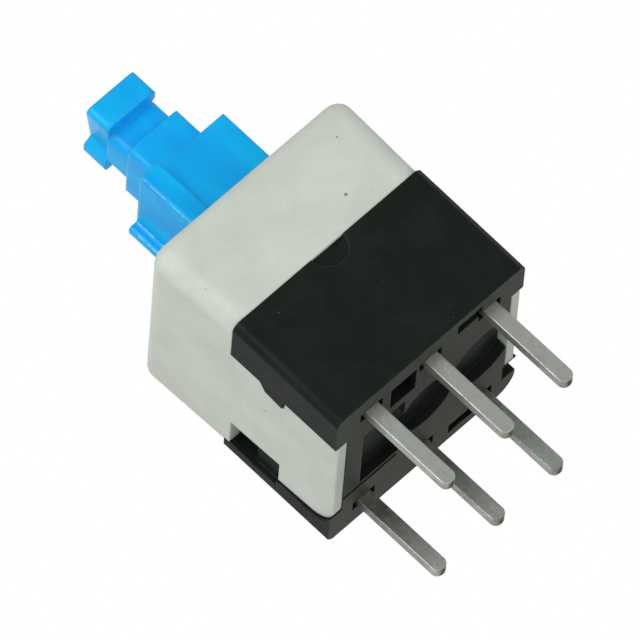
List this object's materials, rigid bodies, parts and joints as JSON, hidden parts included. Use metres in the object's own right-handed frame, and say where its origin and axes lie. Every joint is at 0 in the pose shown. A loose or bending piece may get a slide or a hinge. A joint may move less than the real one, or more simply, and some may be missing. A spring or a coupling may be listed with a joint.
{
  "type": "latching push button switch",
  "caption": "Small board-mounted push button switch that locks when pressed: light grey housing on a black base, blue stepped button, two rows of flat pins.",
  "frame": {"origin": "middle of the base's underside, on the plane that sits on the circuit board", "axes": "+Z is the way the button comes out, X runs along the two rows of pins, -Y is the front"},
  "size_m": [0.0082, 0.008, 0.0175],
  "materials": {
    "light_grey_plastic": "fine matt moulding",
    "black_plastic": "satin glass-filled moulding",
    "blue_plastic": "smooth satin moulding",
    "tinned_pins": "dull tin plate with stamping marks",
    "contact_bronze": "bright rolled strip",
    "spring_steel": "bright drawn wire"
  },
  "bodies": {
    "switch_body": {"housing": "light_grey_plastic", "base": "black_plastic", "front_upper_terminal": "tinned_pins", "front_common_terminal": "tinned_pins", "front_lower_terminal": "tinned_pins", "rear_upper_terminal": "tinned_pins", "rear_common_terminal": "tinned_pins", "rear_lower_terminal": "tinned_pins", "return_spring": "spring_steel", "latch_spring": "spring_steel"},
    "button": {"plunger": "blue_plastic", "front_contact_clip": "contact_bronze", "rear_contact_clip": "contact_bronze"},
    "latch": {"latch_pin": "spring_steel"}
  },
  "joints": [
    {"name": "button_press", "type": "slide", "parent": "switch_body", "child": "button", "axis": [0, 0, -1], "range_m": [0, 0.002], "stiffness_N_per_m": 500, "springref_m": -0.002, "deforming": ["return_spring"]},
    {"name": "latch_swing", "type": "hinge", "parent": "switch_body", "child": "latch", "pos_m": [0.003, 0, 0.0016], "axis": [-1, 0, 0], "range_deg": [0, 19]}
  ],
  "couplings": [
    {"joint": "latch_swing", "follows": "button_press", "rad_per_m": 163.62}
  ]
}
